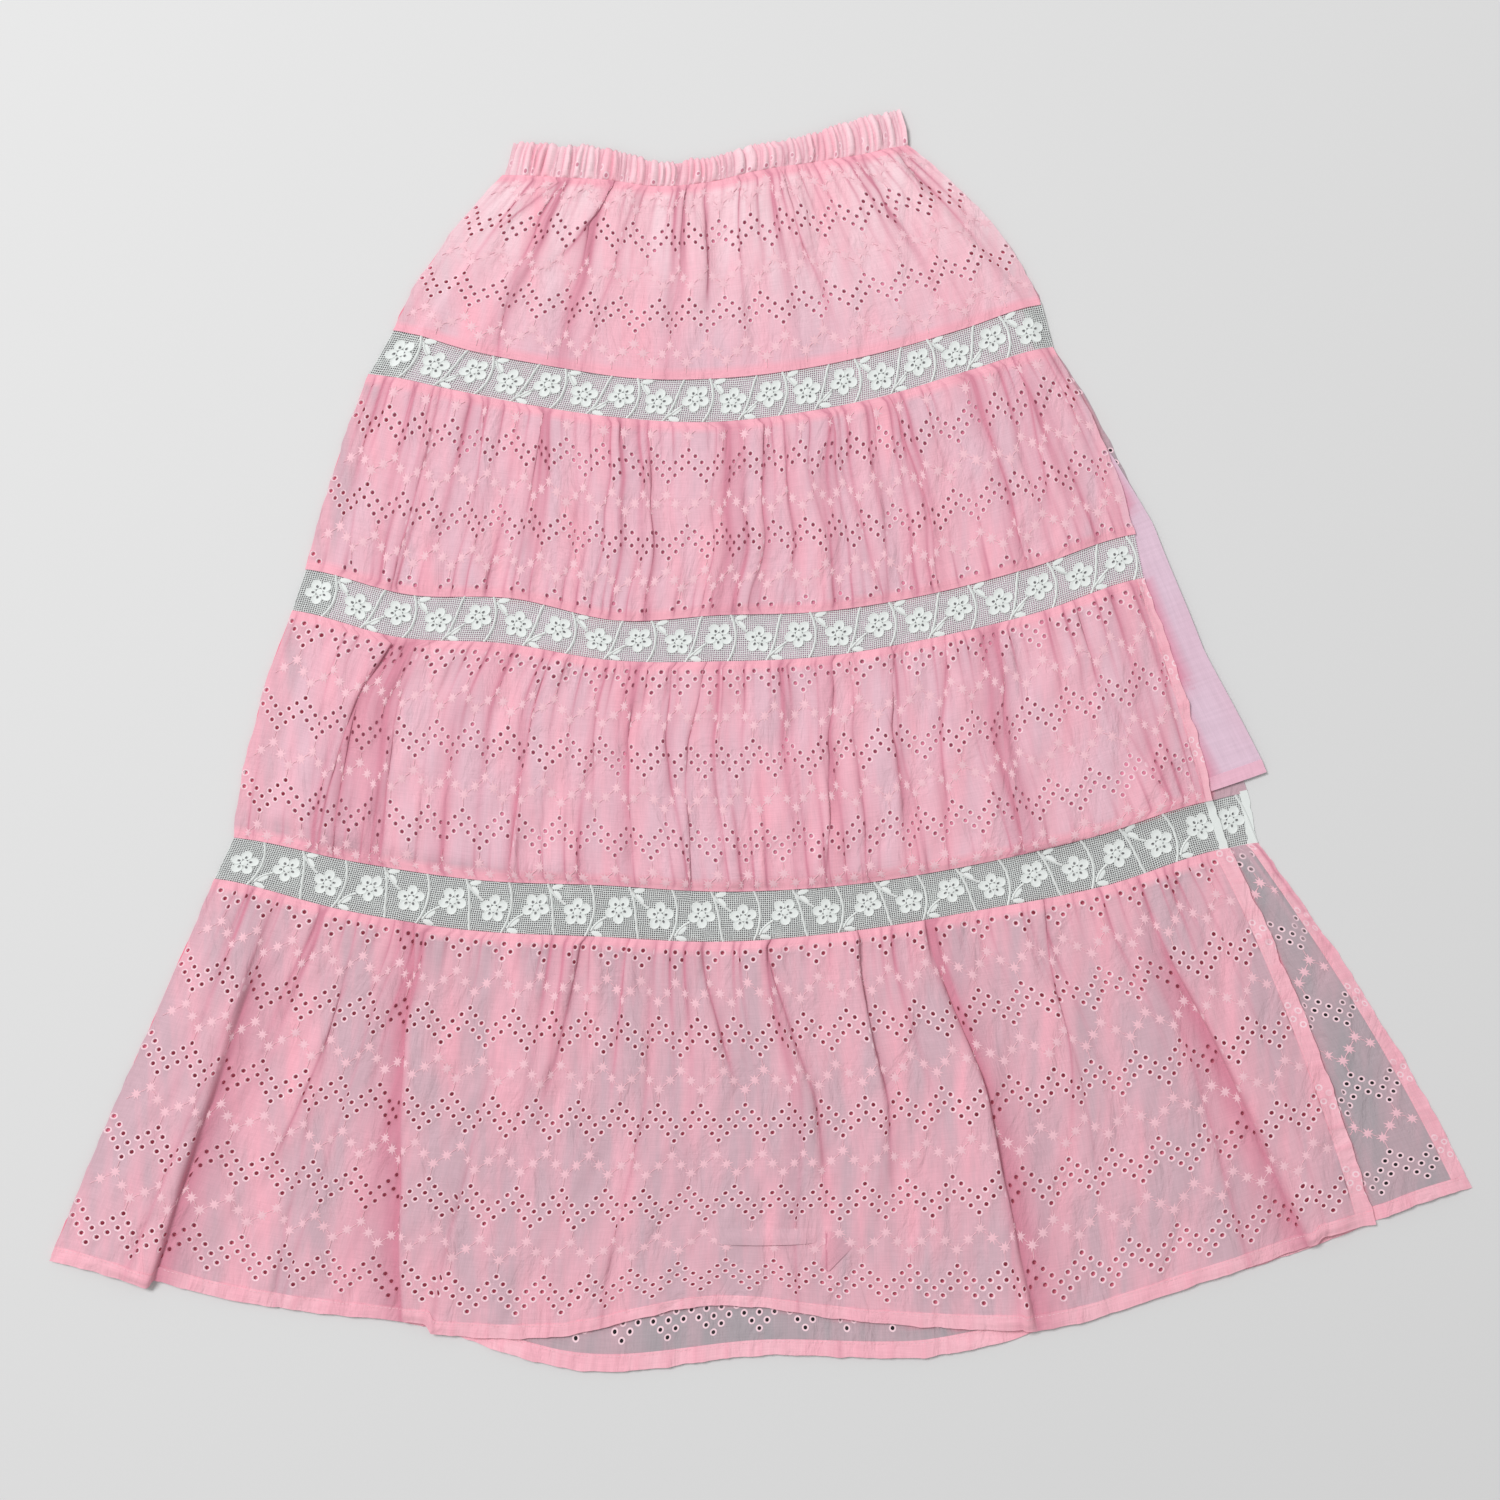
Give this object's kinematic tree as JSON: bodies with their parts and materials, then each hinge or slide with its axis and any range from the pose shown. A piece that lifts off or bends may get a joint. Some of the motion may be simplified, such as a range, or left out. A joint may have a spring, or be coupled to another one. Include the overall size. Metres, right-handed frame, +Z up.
{
  "type": "ruffle skirt",
  "caption": "Long tiered ruffle skirt with a gathered elastic waist, lace insertions, a lining and a side slit, laid flat.",
  "frame": {"origin": "middle of the laid skirt's bounding box, on the surface that it lies on", "axes": "+Z up, out of the front of the skirt; +Y from the hem to the waist; +X across the skirt, towards the side slit"},
  "size_m": [1.1098, 0.9812, 0.0162],
  "materials": {
    "eyelet_voile": "pink cotton voile with stitched eyelets and stars, matt",
    "single_voile": "the same voile in one sheer layer, matt",
    "turned_voile": "the same voile turned double at hems and casing, matt",
    "net_lace": "white net with embroidered flowers, matt",
    "lining_voile": "plain lilac-pink voile, matt"
  },
  "bodies": {
    "root": {"waistband_front": "turned_voile", "waistband_back": "turned_voile", "tier_1_front": "eyelet_voile", "tier_1_back": "single_voile", "lace_1_front": "net_lace", "lace_1_back": "net_lace", "tier_2_front": "eyelet_voile", "tier_2_back": "single_voile", "lace_2_front": "net_lace", "lace_2_back": "net_lace", "tier_3_front": "eyelet_voile", "tier_3_slit_hem_front": "turned_voile", "tier_3_back": "single_voile", "lace_3_front": "net_lace", "lace_3_back": "net_lace", "tier_4_front": "eyelet_voile", "tier_4_slit_hem_front": "turned_voile", "hem_front": "turned_voile", "tier_4_back": "single_voile", "tier_4_slit_hem_back": "turned_voile", "hem_back": "turned_voile", "lining_front": "lining_voile", "lining_back": "lining_voile", "lining_hem_front": "lining_voile"}
  },
  "joints": []
}
